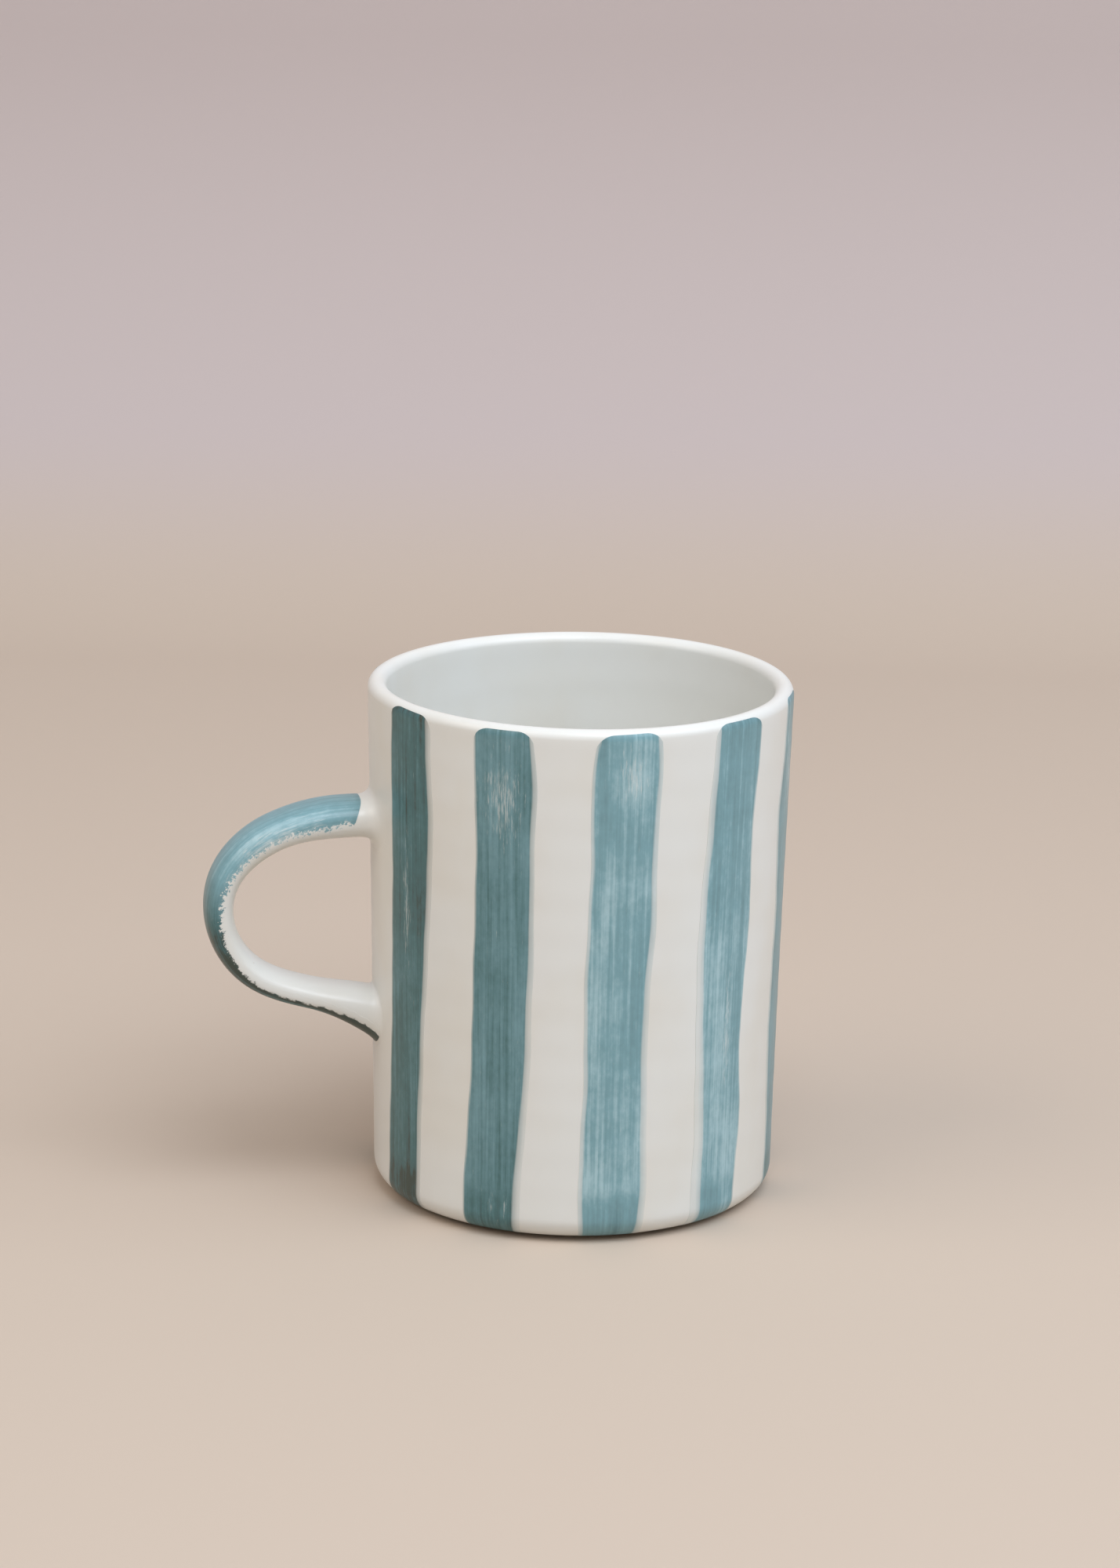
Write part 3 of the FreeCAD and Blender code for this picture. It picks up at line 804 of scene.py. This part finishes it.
def bare_stoneware():
    """Unglazed fired clay: matt, a warm sandy tone, fine grog."""
    material, tree, shader = new_finish("bare_fired_stoneware")
    place = object_mm(tree)
    grog = grain(tree, place, GROG, 4.0, 0.65)
    cloud = grain(tree, place, CLAY_CLOUDS, 2.0)
    clouded = add(tree, "ShaderNodeMath", {0: cloud, 1: 0.4}, operation="MULTIPLY")
    tone = add(tree, "ShaderNodeMath", {0: grog, 1: 0.6, 2: clouded}, operation="MULTIPLY_ADD")
    share = add(tree, "ShaderNodeMapRange", {0: tone, 1: 0.3, 2: 0.7}, interpolation_type="SMOOTHSTEP")
    clay = add(tree, "ShaderNodeMix", {0: share, 6: colour("#B8A184"), 7: colour("#D2C0A4")},
               data_type="RGBA")
    tree.links.new(clay.outputs[2], shader.inputs["Base Color"])
    shader.inputs["Roughness"].default_value = 0.85
    bump = add(tree, "ShaderNodeBump", {"Height": grog, "Strength": 0.5, "Distance": GROG_HEIGHT})
    tree.links.new(bump.outputs[0], shader.inputs["Normal"])
    return material


def plain_floor():
    """Pale matt studio sweep, warm on the floor and a little pinker up the back."""
    material, tree, shader = new_finish("pale_matt_studio_sweep")
    place = add(tree, "ShaderNodeTexCoord").outputs["Object"]
    height = add(tree, "ShaderNodeSeparateXYZ", {0: place}).outputs["Z"]
    rise = add(tree, "ShaderNodeMapRange", {0: height, 1: 0.0, 2: 0.05}, interpolation_type="SMOOTHSTEP")
    paper = add(tree, "ShaderNodeMix", {0: rise, 6: colour("#C6B7A7"), 7: colour("#C3B7B4")},
                data_type="RGBA")
    tree.links.new(paper.outputs[2], shader.inputs["Base Color"])
    shader.inputs["Roughness"].default_value = 0.9
    shader.inputs["Specular IOR Level"].default_value = 0.2
    return material


def wear(piece, material):
    piece.data.materials.append(material)
    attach(piece, "root")


# ---------------------------------------------------------------- studio

CAMERA_AZIMUTH = -10.5       # degrees round towards the handle from straight in front
CAMERA_DISTANCE = 0.856
CAMERA_HEIGHT = 0.310
CAMERA_TILT = 15.09          # degrees down
CAMERA_PAN = 0.24            # degrees left of the mug's axis
CAMERA_ROLL = 0.98
CAMERA_LENS = 106.5
SENSOR_WIDTH = 36

SWEEP_BACK = 0.42            # how far behind the mug the floor starts to rise
SWEEP_R = 0.16
SWEEP_REACH = 1.6


def studio_sweep():
    """Floor that curves up into a backdrop, facing the camera."""
    bend = np.radians(np.linspace(0, 90, 24))
    outline = [(-SWEEP_REACH, 0)]
    outline += [(SWEEP_BACK + SWEEP_R * math.sin(a), SWEEP_R * (1 - math.cos(a))) for a in bend]
    outline += [(SWEEP_BACK + SWEEP_R, SWEEP_REACH)]
    facing = math.radians(CAMERA_AZIMUTH)
    ahead = (-math.sin(facing), math.cos(facing))
    beside = (math.cos(facing), math.sin(facing))
    points = []
    for back, up in outline:
        for aside in (-SWEEP_REACH, SWEEP_REACH):
            points.append((ahead[0] * back + beside[0] * aside, ahead[1] * back + beside[1] * aside, up))
    sweep = make_mesh("studio_sweep", points, grid_faces(len(outline), 2, False))
    sweep.data.materials.append(plain_floor())


def camera():
    made = bpy.data.objects.new("camera", bpy.data.cameras.new("camera"))
    bpy.context.scene.collection.objects.link(made)
    facing = math.radians(CAMERA_AZIMUTH)
    made.data.lens = CAMERA_LENS
    made.data.sensor_width = SENSOR_WIDTH
    made.data.clip_start = 0.05
    turn = Matrix.Rotation(facing + math.radians(CAMERA_PAN), 4, "Z")
    turn = turn @ Matrix.Rotation(math.radians(90 - CAMERA_TILT), 4, "X")
    turn = turn @ Matrix.Rotation(math.radians(CAMERA_ROLL), 4, "Z")
    place = (CAMERA_DISTANCE * math.sin(facing), -CAMERA_DISTANCE * math.cos(facing), CAMERA_HEIGHT)
    made.matrix_world = Matrix.Translation(place) @ turn
    bpy.context.scene.camera = made


def softbox(name, azimuth, elevation, distance, width, height, power, tint):
    """A rectangular lamp that faces the mug. Azimuth counts from the camera's side, positive to the right."""
    lamp = bpy.data.lights.new(name, "AREA")
    lamp.shape = "RECTANGLE"
    lamp.size, lamp.size_y = width, height
    lamp.energy = power
    lamp.color = colour(tint)[:3]
    made = bpy.data.objects.new(name, lamp)
    bpy.context.scene.collection.objects.link(made)
    around, up = math.radians(CAMERA_AZIMUTH + azimuth), math.radians(elevation)
    direction = np.array([math.sin(around) * math.cos(up), -math.cos(around) * math.cos(up), math.sin(up)])
    target = np.array([0, 0, HEIGHT / 2])
    made.location = tuple(target + distance * direction)
    side = np.cross((0, 0, 1), direction)
    side /= np.linalg.norm(side)
    lift = np.cross(direction, side)
    made.rotation_euler = Matrix(np.column_stack([side, lift, direction]).tolist()).to_euler()


def lights():
    softbox("key_softbox", 28, 57, 1.4, 1.0, 1.0, 13.6, "#EDF4FF")
    softbox("left_softbox", -60, 45, 1.6, 1.2, 1.0, 7.6, "#FFEFDF")
    softbox("right_softbox", 75, 40, 1.6, 1.0, 1.0, 6.4, "#EDF4FF")
    softbox("top_softbox", 0, 82, 1.3, 1.2, 1.2, 1.6, "#F6FAFF")
    world = bpy.data.worlds.new("studio")
    bpy.context.scene.world = world
    world.use_nodes = True
    tree = world.node_tree
    light = tree.nodes["Background"]
    light.inputs["Color"].default_value = colour("#E9F0FA")
    light.inputs["Strength"].default_value = 0.38
    backdrop = add(tree, "ShaderNodeBackground", {"Color": colour("#C8BBB7"), "Strength": 1.0})
    ray = add(tree, "ShaderNodeLightPath").outputs
    seen = add(tree, "ShaderNodeMath", {0: ray["Is Camera Ray"], 1: ray["Is Glossy Ray"]},
               operation="MAXIMUM")
    seen = add(tree, "ShaderNodeMath", {0: seen, 1: ray["Is Transmission Ray"]}, operation="MAXIMUM")
    both = add(tree, "ShaderNodeMixShader", {0: seen, 1: light.outputs[0], 2: backdrop.outputs[0]})
    tree.links.new(both.outputs[0], tree.nodes["World Output"].inputs["Surface"])


# ---------------------------------------------------------------- the scene

def mug():
    cream = cream_glaze()
    blue = brushed_blue()
    clay = bare_stoneware()
    wear(glazed_cup(), cream)
    wear(clay_cup(), clay)
    handle_glaze = handle_piece("glaze_on_handle", 0)
    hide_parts("handle_glaze")
    wear(handle_glaze, cream)
    handle_clay = handle_piece("clay_handle", GLAZE)
    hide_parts("handle", "upper_slip_joint", "lower_slip_joint")
    wear(handle_clay, clay)
    for number in range(1, 11):
        wear(wall_band(number), blue)
    wear(handle_band(), blue)


mug()
studio_sweep()
camera()
lights()
bpy.context.scene.view_settings.view_transform = "Standard"
